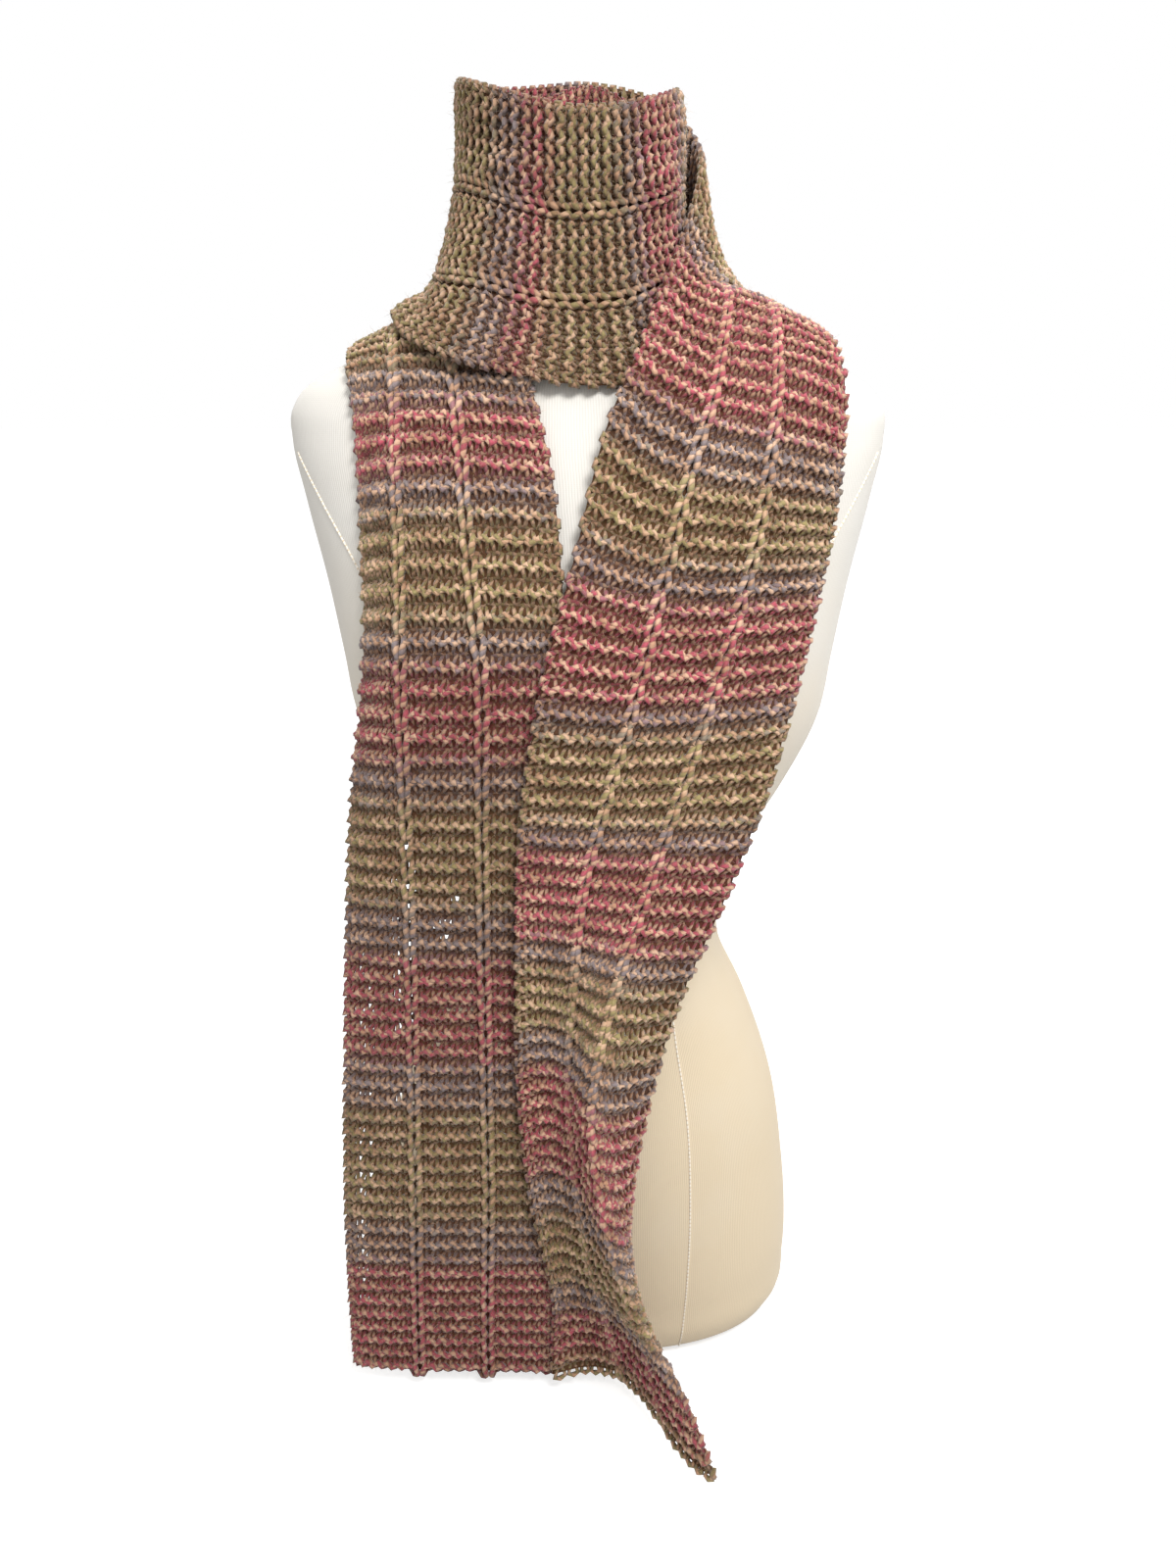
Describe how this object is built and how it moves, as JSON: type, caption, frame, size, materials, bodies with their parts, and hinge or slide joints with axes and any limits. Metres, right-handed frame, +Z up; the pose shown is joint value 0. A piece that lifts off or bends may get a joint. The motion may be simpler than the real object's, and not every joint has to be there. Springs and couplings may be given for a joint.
{
  "type": "hand-knitted scarf wound round the neck of a limbless dress form",
  "caption": "Long ribbed garter-stitch scarf wound once round the neck of a limbless dress form, both ends hanging down the front, one of them folded forward at the hem.",
  "frame": {"origin": "centre of the dress form's flat base", "axes": "+Z up along the form, the form faces -Y, +X is the side of the tail that folds forward at its hem"},
  "size_m": [0.368, 0.3117, 0.8493],
  "materials": {
    "form_jersey": "cream fine-ribbed jersey cover",
    "scarf_yarn": "fuzzy two-ply marled wool yarn, tan with pink, grey-blue and olive"
  },
  "bodies": {
    "root": {"dress_form": "form_jersey", "left_tail": "scarf_yarn", "left_shoulder": "scarf_yarn", "neck_back_inner": "scarf_yarn", "neck_front": "scarf_yarn", "neck_back_outer": "scarf_yarn", "right_shoulder": "scarf_yarn", "right_tail": "scarf_yarn", "right_hem": "scarf_yarn"}
  },
  "joints": []
}
